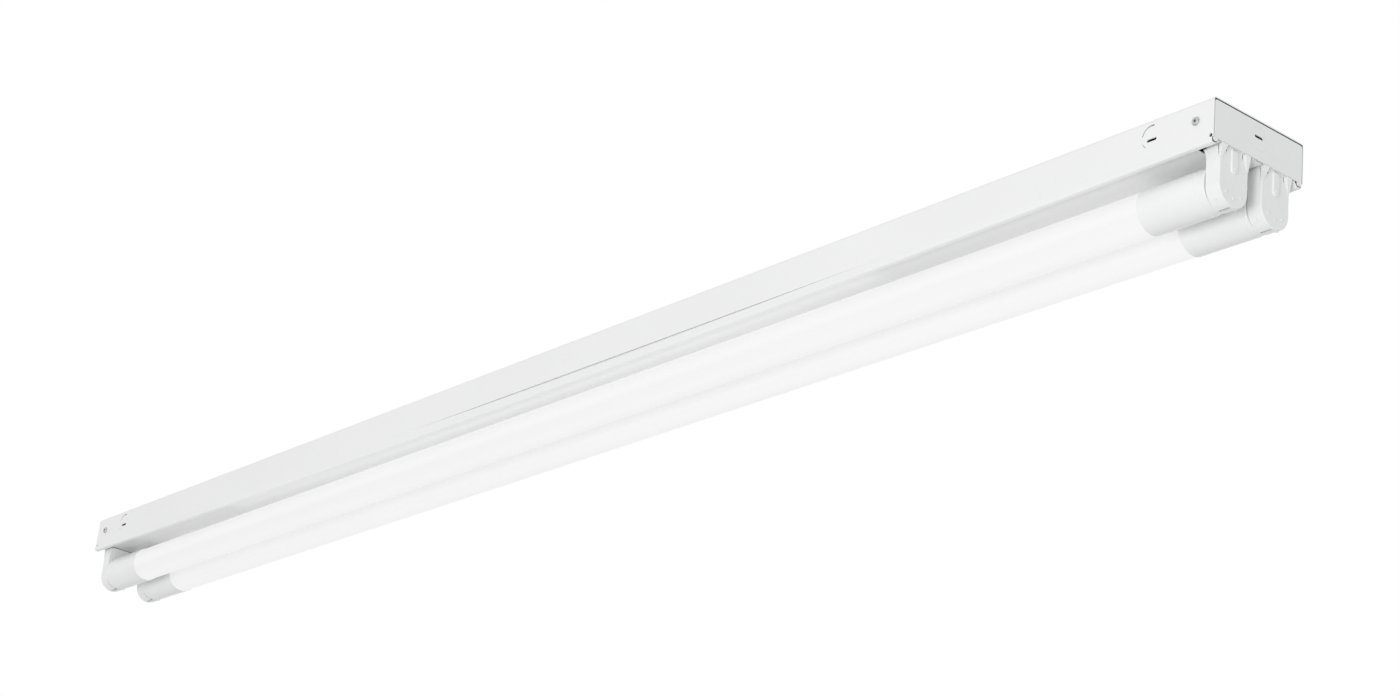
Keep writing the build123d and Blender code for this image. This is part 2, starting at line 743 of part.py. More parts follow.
with BuildPart() as terminal_screws:
    screw_top = lead_z - clamp_height / 2
    with BuildSketch(Plane.XY.offset(screw_top)):
        with Locations((block_x, 0)):
            with GridLocations(0, pole_pitch, 1, len(pole_rows)):
                Circle(pole_screw_diameter / 2)
    extrude(amount=-pole_screw_length)
    with BuildSketch(Plane.XY.offset(screw_top - pole_screw_length)):
        with Locations((block_x, 0)):
            with GridLocations(0, pole_pitch, 1, len(pole_rows)):
                Rectangle(pole_screw_diameter, screw_slot_width)
    extrude(amount=screw_slot_depth, mode=Mode.SUBTRACT)

# Earth screw through the back, with the ring lug of the earth lead under its head
lug_top = -sheet
with BuildPart() as earth_screw:
    with BuildSketch(Plane.XY):
        with Locations((earth_screw_offset, 0)):
            Circle(earth_screw_diameter / 2)
    extrude(amount=-sheet - lug_thickness)
    with BuildSketch(Plane.XY.offset(lug_top - lug_thickness)):
        with Locations((earth_screw_offset, 0)):
            Circle(earth_head_diameter / 2)
    head = extrude(amount=-earth_head_height)
    fillet(head.edges().filter_by(GeomType.CIRCLE).sort_by(Axis.Z)[0], earth_head_edge)
    with BuildSketch(Plane.XY.offset(lug_top - lug_thickness - earth_head_height)):
        with Locations((earth_screw_offset, 0)):
            Rectangle(earth_head_diameter, screw_slot_width)
    extrude(amount=screw_slot_depth, mode=Mode.SUBTRACT)

barrel_z = lug_top - lug_barrel_diameter / 2
barrel_end_x = earth_screw_offset - lug_diameter / 2 - lug_neck
with BuildPart() as earth_lug:
    with BuildSketch(Plane.XY.offset(lug_top)):
        with Locations((earth_screw_offset, 0)):
            Circle(lug_diameter / 2)
        with Locations((barrel_end_x - lug_neck, 0)):
            Rectangle(lug_diameter, lug_tongue_width, align=(Align.MIN, Align.CENTER))
        with Locations((earth_screw_offset, 0)):
            Circle(earth_screw_diameter / 2 + earth_hole_clearance, mode=Mode.SUBTRACT)
    extrude(amount=-lug_thickness)
    with BuildSketch(Plane(origin=(barrel_end_x, 0, barrel_z), z_dir=(-1, 0, 0))):
        Circle(lug_barrel_diameter / 2)
    extrude(amount=lug_barrel_length)
    with BuildSketch(Plane(origin=(barrel_end_x - lug_barrel_length, 0, barrel_z), z_dir=(1, 0, 0))):
        Circle(lead_diameter / 2 + lead_fit / 2)
    extrude(amount=lug_barrel_length - lug_neck, mode=Mode.SUBTRACT)


def lead(points: list[tuple[float, float, float]], radii: list[float]) -> Part:
    """Insulated lead along straight runs joined by tangent arcs."""
    with BuildPart() as wire:
        with BuildLine():
            route = FilletPolyline(*points, radius=radii)
        with BuildSketch(Plane(origin=route @ 0, z_dir=route % 0)):
            Circle(lead_diameter / 2)
        sweep()
    return wire.part


def supply_lead(side: int, y: float, pole_y: float) -> Part:
    """Lead from a pole of the terminal block along the channel and down into a lampholder."""
    port_x = side * (end_x - port_inset)
    block_face = block_x + side * (block_length / 2)
    points = [
        (block_face - side * wire_entry_depth, pole_y, lead_z),
        (block_face + side * lead_spread_start, pole_y, lead_z),
        (block_face + side * (lead_spread_start + lead_spread_length), y, lead_z),
        (port_x, y, lead_z),
        (port_x, y, contact_top + lead_fit),
    ]
    return lead(points, [lead_spread_radius, lead_spread_radius, lead_bend_radius])


def jumper(side: int) -> Part:
    """Short lead that links the inner ports of the two lampholders at one end."""
    port_x = side * (end_x - port_inset)
    reach = lamp_pitch / 2 - contact_middle
    top = -jumper_drop
    points = [
        (port_x, -reach, contact_top + lead_fit),
        (port_x, -reach, top),
        (port_x, reach, top),
        (port_x, reach, contact_top + lead_fit),
    ]
    return lead(points, [jumper_bend_radius, jumper_bend_radius])


outer_port = lamp_pitch / 2 + contact_middle
line_lead = supply_lead(1, -outer_port, -pole_pitch)
neutral_lead = supply_lead(-1, outer_port, pole_pitch)
earth_start = block_x + block_length / 2 - wire_entry_depth
earth_lead = lead(
    [
        (earth_start, 0, lead_z),
        (block_x + block_length / 2 + earth_lead_straight, 0, lead_z),
        (barrel_end_x - lug_barrel_length - earth_lead_straight, 0, barrel_z),
        (barrel_end_x - lug_neck - lug_lead_stop, 0, barrel_z),
    ],
    [earth_lead_bend_radius, earth_lead_bend_radius],
)

# Clips that hold the two long leads to the back of the channel
with BuildPart() as lead_clips:
    clip_width = lead_diameter + 2 * (lead_fit + clip_wall)
    clip_height = lead_drop - sheet + lead_diameter / 2 + clip_wall
    clip_places = [(x, -outer_port if x > 0 else outer_port) for x in clip_positions]
    for clip_x, clip_y in clip_places:
        clip_end = Plane(origin=(clip_x - clip_length / 2, clip_y, -sheet), x_dir=(0, 1, 0), z_dir=(1, 0, 0))
        with BuildSketch(clip_end):
            Rectangle(clip_width, clip_height, align=(Align.CENTER, Align.MAX))
            with Locations((0, lead_z + sheet)):
                Circle(lead_diameter / 2 + lead_fit, mode=Mode.SUBTRACT)
        extrude(amount=clip_length)

# Bushing snapped into the supply opening, flush with the ceiling face
with BuildPart() as supply_bushing:
    bushing_seat = Plane(origin=(supply_opening_offset, 0, -sheet))
    with BuildSketch(bushing_seat):
        Circle(supply_opening_diameter / 2 + bushing_rim_width)
        Circle(bushing_bore / 2, mode=Mode.SUBTRACT)
    extrude(amount=-bushing_rim_height)
    with BuildSketch(bushing_seat):
        Circle(supply_opening_diameter / 2 - bushing_fit)
        Circle(bushing_bore / 2, mode=Mode.SUBTRACT)
    extrude(amount=sheet)

pieces: dict[str, Part] = {
    "channel_housing": channel.part,
    "wireway_cover": cover.part,
    "end_plate_rivets": rivets.part,
    "terminal_block": terminal_block.part,
    "terminal_clamps": terminal_clamps.part,
    "terminal_screws": terminal_screws.part,
    "earth_screw": earth_screw.part,
    "earth_lug": earth_lug.part,
    "earth_lead": earth_lead,
    "line_lead": line_lead,
    "neutral_lead": neutral_lead,
    "lead_clips": lead_clips.part,
    "supply_bushing": supply_bushing.part,
}
for end_name, side in ends.items():
    pieces[f"end_plate_{end_name}"] = end_plate(side)
    pieces[f"jumper_{end_name}"] = jumper(side)
    for row_name, row_y in lamp_rows.items():
        pieces[f"lampholder_{row_name}_{end_name}"] = lampholder(side, row_y)
        pieces[f"rotor_{row_name}_{end_name}"] = rotor(side, row_y)
        pieces[f"contacts_{row_name}_{end_name}"] = contacts(side, row_y)
        pieces[f"lamp_{row_name}_cap_{end_name}"] = lamp_cap(side, row_y)
for row_name, row_y in lamp_rows.items():
    pieces[f"lamp_{row_name}_tube"] = lamp_tube(row_y)
    pieces[f"lamp_{row_name}_pins"] = lamp_pins(row_y)
    pieces[f"lamp_{row_name}_led_board"] = led_board(row_y)
    pieces[f"lamp_{row_name}_driver"] = driver_board(row_y)

os.makedirs("parts", exist_ok=True)
for name, piece in pieces.items():
    piece.label = name
    export_step(piece, f"parts/{name}.step")
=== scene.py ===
"""Dresses a two-lamp ceiling strip light: white enamelled wireway, moulded lampholders and frosted tubes."""
from __future__ import annotations

import logging
import math
from dataclasses import dataclass, field
from enum import Enum

import bmesh
import bpy
from mathutils import Matrix, Vector


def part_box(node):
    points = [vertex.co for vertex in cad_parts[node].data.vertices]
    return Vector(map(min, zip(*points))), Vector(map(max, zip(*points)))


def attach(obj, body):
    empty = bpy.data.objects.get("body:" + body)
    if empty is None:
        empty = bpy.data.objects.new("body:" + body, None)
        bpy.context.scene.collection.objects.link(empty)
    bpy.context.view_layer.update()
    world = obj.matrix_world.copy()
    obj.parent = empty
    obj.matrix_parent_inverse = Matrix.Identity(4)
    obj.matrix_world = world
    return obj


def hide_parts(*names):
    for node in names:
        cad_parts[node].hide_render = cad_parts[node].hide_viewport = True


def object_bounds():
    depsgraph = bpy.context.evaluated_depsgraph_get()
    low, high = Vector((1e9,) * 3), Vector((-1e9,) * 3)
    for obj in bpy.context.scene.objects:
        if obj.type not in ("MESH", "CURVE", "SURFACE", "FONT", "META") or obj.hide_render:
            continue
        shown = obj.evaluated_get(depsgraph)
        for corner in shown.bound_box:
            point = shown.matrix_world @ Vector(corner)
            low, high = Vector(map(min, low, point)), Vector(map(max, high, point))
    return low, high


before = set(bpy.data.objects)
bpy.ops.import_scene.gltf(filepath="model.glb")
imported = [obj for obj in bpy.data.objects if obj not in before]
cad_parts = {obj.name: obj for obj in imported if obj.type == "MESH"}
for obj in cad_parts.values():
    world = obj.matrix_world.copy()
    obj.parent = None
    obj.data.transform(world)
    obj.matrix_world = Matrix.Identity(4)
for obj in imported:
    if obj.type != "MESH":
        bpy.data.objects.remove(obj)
CAD_BOX: tuple[Vector, Vector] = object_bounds()
log = logging.getLogger("strip_light")

Colour = tuple[float, float, float]
Point = tuple[float, float, float]


class Row(Enum):
    """The two lamps, by the side of the fixture that they hang on."""

    FRONT = "front"
    REAR = "rear"


class End(Enum):
    """The two ends of the fixture."""

    LEFT = "left"
    RIGHT = "right"


def node_object(name: str) -> bpy.types.Object:
    """Gives the object of a CAD node.

    Args:
        name: The node's name.

    Returns:
        The node's object.
    """
    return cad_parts[name]


def dress(piece: bpy.types.Object, material: bpy.types.Material) -> None:
    """Gives a piece one material all over.

    Args:
        piece: The object to dress.
        material: The finished material.
    """
    piece.data.materials.clear()
    piece.data.materials.append(material)


def math_node(tree: bpy.types.NodeTree, operation: str) -> bpy.types.Node:
    """Adds a math node to a node tree.

    Args:
        tree: The node tree to add to.
        operation: What the node works out.

    Returns:
        The new node.
    """
    node = tree.nodes.new("ShaderNodeMath")
    node.operation = operation
    return node


class SkinGroup:
    """Shader group for a painted or moulded skin: slow mottle, fine grain and a roughness that follows it."""

    name: str = "skin_grain"
    patch_detail: float = 3.0
    grain_detail: float = 2.0
    colour_span: tuple[float, float] = (0.35, 0.65)
    rough_span: tuple[float, float] = (0.3, 0.7)

    def __init__(self) -> None:
        """Builds the group once."""
        tree = bpy.data.node_groups.new(self.name, "ShaderNodeTree")
        face = tree.interface
        for label, kind, value in (
            ("Base", "NodeSocketColor", (0.8, 0.8, 0.8, 1.0)),
            ("Shade", "NodeSocketColor", (0.75, 0.75, 0.75, 1.0)),
            ("Patch Scale", "NodeSocketFloat", 6.0),
            ("Grain Scale", "NodeSocketFloat", 600.0),
            ("Rough Low", "NodeSocketFloat", 0.3),
            ("Rough High", "NodeSocketFloat", 0.4),
        ):
            socket = face.new_socket(label, in_out="INPUT", socket_type=kind)
            socket.default_value = value
        for label, kind in (
            ("Color", "NodeSocketColor"),
            ("Roughness", "NodeSocketFloat"),
            ("Height", "NodeSocketFloat"),
        ):
            face.new_socket(label, in_out="OUTPUT", socket_type=kind)
        nodes, links = tree.nodes, tree.links
        entry = nodes.new("NodeGroupInput")
        leave = nodes.new("NodeGroupOutput")
        coord = nodes.new("ShaderNodeTexCoord")
        patch = nodes.new("ShaderNodeTexNoise")
        patch.inputs["Detail"].default_value = self.patch_detail
        grain = nodes.new("ShaderNodeTexNoise")
        grain.inputs["Detail"].default_value = self.grain_detail
        spread = nodes.new("ShaderNodeMapRange")
        spread.inputs["From Min"].default_value = self.colour_span[0]
        spread.inputs["From Max"].default_value = self.colour_span[1]
        mix = nodes.new("ShaderNodeMix")
        mix.data_type = "RGBA"
        rough = nodes.new("ShaderNodeMapRange")
        rough.inputs["From Min"].default_value = self.rough_span[0]
        rough.inputs["From Max"].default_value = self.rough_span[1]
        links.new(coord.outputs["Object"], patch.inputs["Vector"])
        links.new(coord.outputs["Object"], grain.inputs["Vector"])
        links.new(entry.outputs["Patch Scale"], patch.inputs["Scale"])
        links.new(entry.outputs["Grain Scale"], grain.inputs["Scale"])
        links.new(patch.outputs["Fac"], spread.inputs["Value"])
        links.new(spread.outputs["Result"], mix.inputs["Factor"])
        links.new(entry.outputs["Base"], mix.inputs["A"])
        links.new(entry.outputs["Shade"], mix.inputs["B"])
        links.new(patch.outputs["Fac"], rough.inputs["Value"])
        links.new(entry.outputs["Rough Low"], rough.inputs["To Min"])
        links.new(entry.outputs["Rough High"], rough.inputs["To Max"])
        links.new(mix.outputs["Result"], leave.inputs["Color"])
        links.new(rough.outputs["Result"], leave.inputs["Roughness"])
        links.new(grain.outputs["Fac"], leave.inputs["Height"])
        self.tree = tree


@dataclass(frozen=True)
class Finish:
    """A surface finish, with the values that its material is made from."""

    name: str
    base: Colour
    shade: Colour
    patch_scale: float
    grain_scale: float = 1500.0
    rough_low: float = 0.32
    rough_high: float = 0.42
    bump_strength: float = 0.05
    bump_distance: float = 0.0002
    metallic: float = 0.0
    specular: float = 0.5

    def material(self, skin: SkinGroup) -> bpy.types.Material:
        """Makes the material of this finish.

        Args:
            skin: The shared skin group.

        Returns:
            The new material.
        """
        made = bpy.data.materials.new(self.name)
        made.use_nodes = True
        nodes, links = made.node_tree.nodes, made.node_tree.links
        shader = nodes["Principled BSDF"]
        grain = nodes.new("ShaderNodeGroup")
        grain.node_tree = skin.tree
        grain.inputs["Base"].default_value = (*self.base, 1.0)
        grain.inputs["Shade"].default_value = (*self.shade, 1.0)
        grain.inputs["Patch Scale"].default_value = self.patch_scale
        grain.inputs["Grain Scale"].default_value = self.grain_scale
        grain.inputs["Rough Low"].default_value = self.rough_low
        grain.inputs["Rough High"].default_value = self.rough_high
        bump = nodes.new("ShaderNodeBump")
        bump.inputs["Strength"].default_value = self.bump_strength
        bump.inputs["Distance"].default_value = self.bump_distance
        links.new(grain.outputs["Color"], shader.inputs["Base Color"])
        links.new(grain.outputs["Roughness"], shader.inputs["Roughness"])
        links.new(grain.outputs["Height"], bump.inputs["Height"])
        links.new(bump.outputs["Normal"], shader.inputs["Normal"])
        shader.inputs["Metallic"].default_value = self.metallic
        shader.inputs["Specular IOR Level"].default_value = self.specular
        return made


@dataclass(frozen=True)
class ChannelFinish(Finish):
    """The finish of the channel: enamelled outside, with a near-black painted shade on the inside faces in
    place of the shadow in the gaps at the ends.
    """

    # Painted shade: a near-black colour for the inside faces, standing in for the shadow in the gaps between
    # the end plates and the channel.
    painted_inside_shade: Colour = (0.1, 0.1, 0.1)
    inside_half_width: float = 0.0368
    inside_depth: float = 0.00075

    def material(self, skin: SkinGroup) -> bpy.types.Material:
        """Makes the material of this finish.

        Args:
            skin: The shared skin group.

        Returns:
            The new material.
        """
        made = super().material(skin)
        tree = made.node_tree
        nodes, links = tree.nodes, tree.links
        coord = nodes.new("ShaderNodeTexCoord")
        split = nodes.new("ShaderNodeSeparateXYZ")
        aside = math_node(tree, "ABSOLUTE")
        between = math_node(tree, "LESS_THAN")
        between.inputs[1].default_value = self.inside_half_width
        below = math_node(tree, "LESS_THAN")
        below.inputs[1].default_value = -self.inside_depth
        inside = math_node(tree, "MULTIPLY")
        mix = nodes.new("ShaderNodeMix")
        mix.data_type = "RGBA"
        # Painted shade: the inside faces take the near-black colour in place of the shadow seen through the
        # gaps.
        mix.inputs["B"].default_value = (*self.painted_inside_shade, 1.0)
        shader = nodes["Principled BSDF"]
        painted = shader.inputs["Base Color"].links[0].from_socket
        links.new(coord.outputs["Object"], split.inputs["Vector"])
        links.new(split.outputs["Y"], aside.inputs[0])
        links.new(aside.outputs[0], between.inputs[0])
        links.new(split.outputs["Z"], below.inputs[0])
        links.new(between.outputs[0], inside.inputs[0])
        links.new(below.outputs[0], inside.inputs[1])
        links.new(inside.outputs[0], mix.inputs["Factor"])
        links.new(painted, mix.inputs["A"])
        links.new(mix.outputs["Result"], shader.inputs["Base Color"])
        return made


@dataclass(frozen=True)
class TubeFinish(Finish):
    """The finish of a lit tube: its glow is full below and dim on top, where the board inside shades it.

    The stops of the glow run from ramp_reach below the tube's axis to ramp_reach above it. The crown of the
    tube glows a little more about the middle of its length than towards its ends.
    """

    axis_height: float = -0.045
    ramp_reach: float = 0.0135
    glow: tuple[tuple[float, float], ...] = (
        (0.0, 0.54),
        (0.15, 0.485),
        (0.28, 0.466),
        (0.42, 0.487),
        (0.6, 0.474),
        (0.8, 0.464),
        (0.92, 0.435),
        (1.0, 0.2),
    )
    crown_start: float = 0.955
    crown_gain: float = 1.2
    crown_near: float = 0.22
    crown_far: float = 0.42

    def material(self, skin: SkinGroup) -> bpy.types.Material:
        """Makes the material of this finish.

        Args:
            skin: The shared skin group.

        Returns:
            The new material.
        """
        made = super().material(skin)
        tree = made.node_tree
        nodes, links = tree.nodes, tree.links
        coord = nodes.new("ShaderNodeTexCoord")
        split = nodes.new("ShaderNodeSeparateXYZ")
        height = nodes.new("ShaderNodeMapRange")
        height.inputs["From Min"].default_value = self.axis_height - self.ramp_reach
        height.inputs["From Max"].default_value = self.axis_height + self.ramp_reach
        ramp = nodes.new("ShaderNodeValToRGB")
        stops = ramp.color_ramp.elements
        while len(stops) < len(self.glow):
            stops.new(1.0)
        for stop, (place, level) in zip(stops, self.glow):
            stop.position = place
            stop.color = (level, level, level, 1.0)
        crown = nodes.new("ShaderNodeMapRange")
        crown.inputs["From Min"].default_value = self.crown_start
        away = math_node(tree, "ABSOLUTE")
        middle = nodes.new("ShaderNodeMapRange")
        middle.interpolation_type = "SMOOTHSTEP"
        middle.inputs["From Min"].default_value = self.crown_near
        middle.inputs["From Max"].default_value = self.crown_far
        middle.inputs["To Min"].default_value = self.crown_gain
        middle.inputs["To Max"].default_value = 0.0
        strength = math_node(tree, "MULTIPLY_ADD")
        strength.inputs[2].default_value = 1.0
        shader = nodes["Principled BSDF"]
        links.new(coord.outputs["Object"], split.inputs["Vector"])
        links.new(split.outputs["Z"], height.inputs["Value"])
        links.new(height.outputs["Result"], ramp.inputs["Fac"])
        links.new(ramp.outputs["Color"], shader.inputs["Emission Color"])
        links.new(height.outputs["Result"], crown.inputs["Value"])
        links.new(split.outputs["X"], away.inputs[0])
        links.new(away.outputs[0], middle.inputs["Value"])
        links.new(crown.outputs["Result"], strength.inputs[0])
        links.new(middle.outputs["Result"], strength.inputs[1])
        links.new(strength.outputs[0], shader.inputs["Emission Strength"])
        return made


@dataclass
class FinishSet:
    """All the finishes of the fixture, each made into a material once."""

    skin: SkinGroup = field(default_factory=SkinGroup)
    made: dict[str, bpy.types.Material] = field(default_factory=dict)

    enamel: ChannelFinish = ChannelFinish(
        "white_enamel",
        base=(0.895, 0.9, 0.898),
        shade=(0.88, 0.885, 0.883),
        patch_scale=7.0,
        grain_scale=900.0,
    )
    cover_enamel: Finish = Finish(
        "cover_enamel",
        base=(0.895, 0.9, 0.898),
        shade=(0.88, 0.885, 0.883),
        patch_scale=5.0,
        grain_scale=900.0,
    )
    plate_enamel: Finish = Finish(
        "plate_enamel",
        base=(0.89, 0.9, 0.897),
        shade=(0.875, 0.885, 0.882),
        patch_scale=18.0,
        grain_scale=900.0,
    )
    holder: Finish = Finish(
        "holder_plastic",
        base=(0.89, 0.9, 0.897),
        shade=(0.875, 0.885, 0.88),
        patch_scale=60.0,
        rough_low=0.26,
        rough_high=0.34,
    )
    rotor: Finish = Finish(
        "rotor_plastic",
        base=(0.84, 0.84, 0.83),
        shade=(0.81, 0.81, 0.8),
        patch_scale=80.0,
        rough_low=0.3,
        rough_high=0.4,
    )
    cap: Finish = Finish(
        "cap_plastic",
        base=(0.9, 0.905, 0.905),
        shade=(0.885, 0.89, 0.89),
        patch_scale=40.0,
        grain_scale=1600.0,
        rough_low=0.18,
        rough_high=0.26,
    )
    diffuser: TubeFinish = TubeFinish(
        "frosted_tube",
        base=(0.45, 0.45, 0.45),
        shade=(0.446, 0.446, 0.446),
        patch_scale=8.0,
        grain_scale=2500.0,
        rough_low=0.42,
        rough_high=0.5,
        specular=0.25,
    )
    brass: Finish = Finish(
        "bright_brass",
        base=(0.72, 0.53, 0.24),
        shade=(0.62, 0.44, 0.2),
        patch_scale=90.0,
        grain_scale=2000.0,
        rough_low=0.22,
        rough_high=0.38,
        metallic=1.0,
    )
    nickel: Finish = Finish(
        "nickel_plate",
        base=(0.66, 0.63, 0.57),
        shade=(0.58, 0.55, 0.5),
        patch_scale=90.0,
        grain_scale=2000.0,
        rough_low=0.2,
        rough_high=0.34,
        metallic=1.0,
    )
    zinc: Finish = Finish(
        "zinc_plate",
        base=(0.62, 0.63, 0.64),
        shade=(0.52, 0.53, 0.55),
        patch_scale=120.0,
        grain_scale=2000.0,
        rough_low=0.3,
        rough_high=0.48,
        metallic=1.0,
    )
    rivet: Finish = Finish(
        "bare_rivet",
        base=(0.6, 0.6, 0.6),
        shade=(0.5, 0.5, 0.5),
        patch_scale=150.0,
        rough_low=0.3,
        rough_high=0.45,
        metallic=0.7,
    )
    led_board: Finish = Finish(
        "white_board",
        base=(0.84, 0.84, 0.81),
        shade=(0.8, 0.8, 0.77),
        patch_scale=30.0,
        rough_low=0.4,
        rough_high=0.5,
    )
    driver: Finish = Finish(
        "green_board",
        base=(0.03, 0.12, 0.05),
        shade=(0.025, 0.09, 0.04),
        patch_scale=90.0,
        rough_low=0.3,
        rough_high=0.45,
    )
    terminal: Finish = Finish(
        "terminal_plastic",
        base=(0.7, 0.69, 0.64),
        shade=(0.66, 0.65, 0.6),
        patch_scale=60.0,
        rough_low=0.4,
        rough_high=0.5,
    )
    line_wire: Finish = Finish(
        "black_insulation",
        base=(0.02, 0.02, 0.02),
        shade=(0.03, 0.03, 0.03),
        patch_scale=60.0,
        rough_low=0.4,
        rough_high=0.55,
    )
    neutral_wire: Finish = Finish(
        "white_insulation",
        base=(0.75, 0.75, 0.73),
        shade=(0.7, 0.7, 0.68),
        patch_scale=60.0,
        rough_low=0.4,
        rough_high=0.55,
    )
    earth_wire: Finish = Finish(
        "green_insulation",
        base=(0.02, 0.2, 0.05),
        shade=(0.02, 0.16, 0.04),
        patch_scale=60.0,
        rough_low=0.4,
        rough_high=0.55,
    )
    clip: Finish = Finish(
        "clip_plastic",
        base=(0.72, 0.72, 0.7),
        shade=(0.68, 0.68, 0.66),
        patch_scale=80.0,
        rough_low=0.4,
        rough_high=0.5,
    )
    bushing: Finish = Finish(
        "bushing_plastic",
        base=(0.025, 0.025, 0.025),
        shade=(0.035, 0.035, 0.035),
        patch_scale=80.0,
        rough_low=0.4,
        rough_high=0.55,
    )

    def of(self, finish: Finish) -> bpy.types.Material:
        """Gives a finish's material, made at its first use.

        Args:
            finish: One of the finishes.

        Returns:
            The finish's material.
        """
        if finish.name not in self.made:
            self.made[finish.name] = finish.material(self.skin)
        return self.made[finish.name]


@dataclass
class Wireway:
    """Channel, cover, end plates and rivets. All lengths are in metres."""

    finishes: FinishSet
    sag: float = 0.0046
    lean: float = 0.001
    opening_centre: float = 0.1
    opening_reach: float = 0.265
    slit: float = 0.0013
    seam_gap: float = 0.000095
    rim_share: float = 0.95
    rim_depth: float = 0.0013
    rim_radius: float = 0.00052
    rim_round_share: float = 0.9
    rim_top_share: float = 0.999
    stations: int = 36
    weld: float = 1e-6
    cut_tolerance: float = 1e-7
    sharp_angle: float = math.radians(35.0)

    def sag_at(self, x: float) -> float:
        """Gives how far the cover's pan hangs below its straight line.

        Args:
            x: Place along the fixture, in metres.

        Returns:
            The drop, in metres.
        """
        low, high = CAD_BOX
        along = min(max((x - low.x) / (high.x - low.x), 0.0), 1.0)
        return self.sag * math.sin(math.pi * along)

    def opening_at(self, x: float) -> float:
        """Gives how far the seam stands open: fully about the middle, and not at all towards the ends.

        Args:
            x: Place along the fixture, in metres.

        Returns:
            The share of the full opening, from 0 to 1.
        """
        apart = min(abs(x - self.opening_centre) / self.opening_reach, 1.0)
        return (1.0 + math.cos(math.pi * apart)) / 2

    def on_rim_round(self, out: float, up: float) -> bool:
        """Tells whether a point lies on the rounded outer corner of a rim, short of its top.

        Args:
            out: How far the point is outwards from the round's axis, in metres.
            up: How far the point is above the round's axis, in metres.

        Returns:
            True if it lies there.
        """
        past_axis = out > self.weld and self.weld < up < self.rim_top_share * self.rim_radius
        return past_axis and math.hypot(out, up) > self.rim_round_share * self.rim_radius

    def cut_stations(self, shape: bmesh.types.BMesh, low: Vector, high: Vector) -> None:
        """Cuts the straight cover across at even stations, so that it can bow.

        Args:
            shape: The straight cover.
            low: The least corner of the cover's box.
            high: The greatest corner of the cover's box.
        """
        for step in range(1, self.stations):
            x = low.x + (high.x - low.x) * step / self.stations
            bmesh.ops.bisect_plane(
                shape,
                geom=[*shape.verts, *shape.edges, *shape.faces],
                dist=self.cut_tolerance,
                plane_co=(x, 0.0, 0.0),
                plane_no=(1.0, 0.0, 0.0),
            )

    def hang(self, shape: bmesh.types.BMesh, high: Vector) -> None:
        """Moves the cover's points to where they hang.

        Args:
            shape: The cover, cut at its stations.
            high: The greatest corner of the straight cover's box.
        """
        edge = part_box("channel_housing")[0].z
        for vert in shape.verts:
            x, y, z = vert.co
            drop = self.sag_at(x)
            if abs(y) > self.rim_share * high.y and z > edge - self.rim_depth:
                opening = self.opening_at(x)
                drop = self.slit * opening - self.seam_gap * (1.0 - opening)
                share = max(z - edge, 0.0) / (high.z - edge)
                vert.co.y -= math.copysign(self.lean * opening * share, y)
                out = abs(y) - high.y + self.rim_radius
                up = z - edge + self.seam_gap + self.rim_radius
                if self.on_rim_round(out, up):
                    vert.co.y += math.copysign((high.y - abs(y)) * (1.0 - opening), y)
            vert.co.z -= drop

    def hanging_cover(self) -> bpy.types.Object:
        """Makes the cover as it hangs.

        Its pan bows between the ends, and its rims bear on the channel's edges. About the middle the rims
        stand a little off those edges, so that the seam shows as a slit.

        Returns:
            The new cover.
        """
        shape = bmesh.new()
        shape.from_mesh(node_object("wireway_cover").data)
        bmesh.ops.remove_doubles(shape, verts=shape.verts, dist=self.weld)
        low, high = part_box("wireway_cover")
        self.cut_stations(shape, low, high)
        self.hang(shape, high)
        mesh = bpy.data.meshes.new("hanging_cover")
        shape.to_mesh(mesh)
        shape.free()
        mesh.shade_smooth()
        mesh.set_sharp_from_angle(angle=self.sharp_angle)
        cover = bpy.data.objects.new("hanging_cover", mesh)
        bpy.context.scene.collection.objects.link(cover)
        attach(cover, "fixture")
        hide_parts("wireway_cover")
        return cover

    def build(self) -> None:
        """Makes the cover and dresses the sheet-metal pieces."""
        given = self.finishes
        dress(node_object("channel_housing"), given.of(given.enamel))
        dress(self.hanging_cover(), given.of(given.cover_enamel))
        for end in End:
            dress(node_object(f"end_plate_{end.value}"), given.of(given.plate_enamel))
        dress(node_object("end_plate_rivets"), given.of(given.rivet))
        log.info("wireway dressed")


@dataclass
class Lampholders:
    """The four lampholders, with their rotors and contacts."""

    finishes: FinishSet

    def build(self) -> None:
        """Dresses every lampholder."""
        given = self.finishes
        for row in Row:
            for end in End:
                place = f"{row.value}_{end.value}"
                dress(node_object(f"lampholder_{place}"), given.of(given.holder))
                dress(node_object(f"rotor_{place}"), given.of(given.rotor))
                dress(node_object(f"contacts_{place}"), given.of(given.brass))
        log.info("lampholders dressed")


@dataclass
class TubeLamp:
    """One tube lamp: frosted tube, caps, pins and what is inside."""

    row: Row
    finishes: FinishSet

    def build(self) -> None:
        """Dresses the lamp."""
        given = self.finishes
        lamp = f"lamp_{self.row.value}"
        dress(node_object(f"{lamp}_tube"), given.of(given.diffuser))
        for end in End:
            dress(node_object(f"{lamp}_cap_{end.value}"), given.of(given.cap))
        dress(node_object(f"{lamp}_pins"), given.of(given.nickel))
        dress(node_object(f"{lamp}_led_board"), given.of(given.led_board))
        dress(node_object(f"{lamp}_driver"), given.of(given.driver))
        log.info("%s lamp dressed", self.row.value)


@dataclass
class Wiring:
    """Terminal block, leads, clips, earth screw and bushing."""

    finishes: FinishSet

    def build(self) -> None:
        """Dresses the pieces inside the channel."""
        given = self.finishes
        for name, finish in (
            ("terminal_block", given.terminal),
            ("terminal_clamps", given.brass),
            ("terminal_screws", given.zinc),
            ("earth_screw", given.zinc),
            ("earth_lug", given.nickel),
            ("earth_lead", given.earth_wire),
            ("line_lead", given.line_wire),
            ("neutral_lead", given.neutral_wire),
            ("jumper_left", given.neutral_wire),
            ("jumper_right", given.line_wire),
            ("lead_clips", given.clip),
            ("supply_bushing", given.bushing),
        ):
            dress(node_object(name), given.of(finish))
        log.info("wiring dressed")


